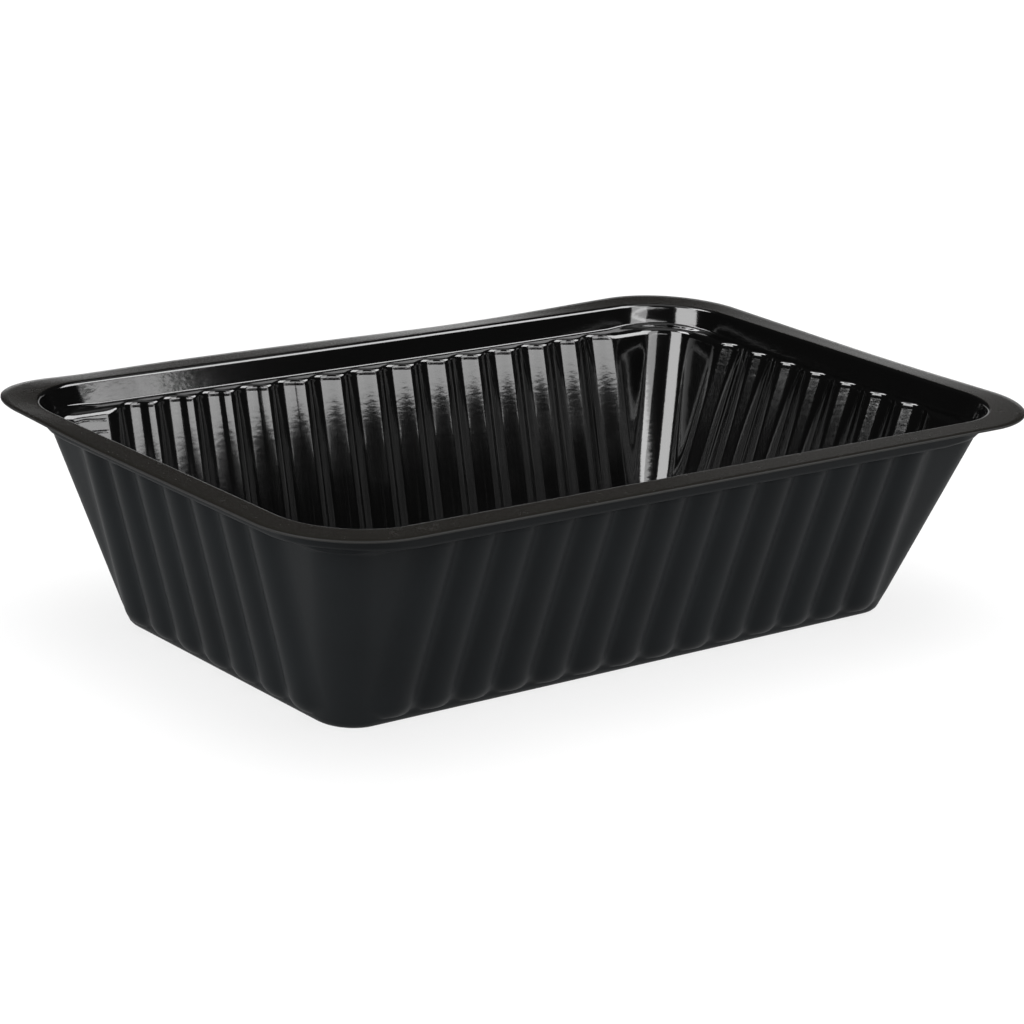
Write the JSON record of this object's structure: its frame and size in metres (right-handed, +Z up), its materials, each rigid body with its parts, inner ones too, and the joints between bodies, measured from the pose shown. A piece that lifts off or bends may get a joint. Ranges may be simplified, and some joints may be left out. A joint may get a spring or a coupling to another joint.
{
  "type": "plastic fries tray",
  "caption": "Open rectangular food tray of thin black plastic sheet with a flat lip, a short upright band under it, fluted sloping walls and a flat floor, for serving chips and other hot snacks.",
  "frame": {"origin": "middle of the flat underside, on the surface the tray stands on", "axes": "+X along the tray's length, +Y across its width, +Z up out of the open top"},
  "size_m": [0.2024, 0.1304, 0.0484],
  "materials": {
    "black_plastic": "gloss inside, satin outside"
  },
  "bodies": {
    "root": {"tray": "black_plastic"}
  },
  "joints": []
}
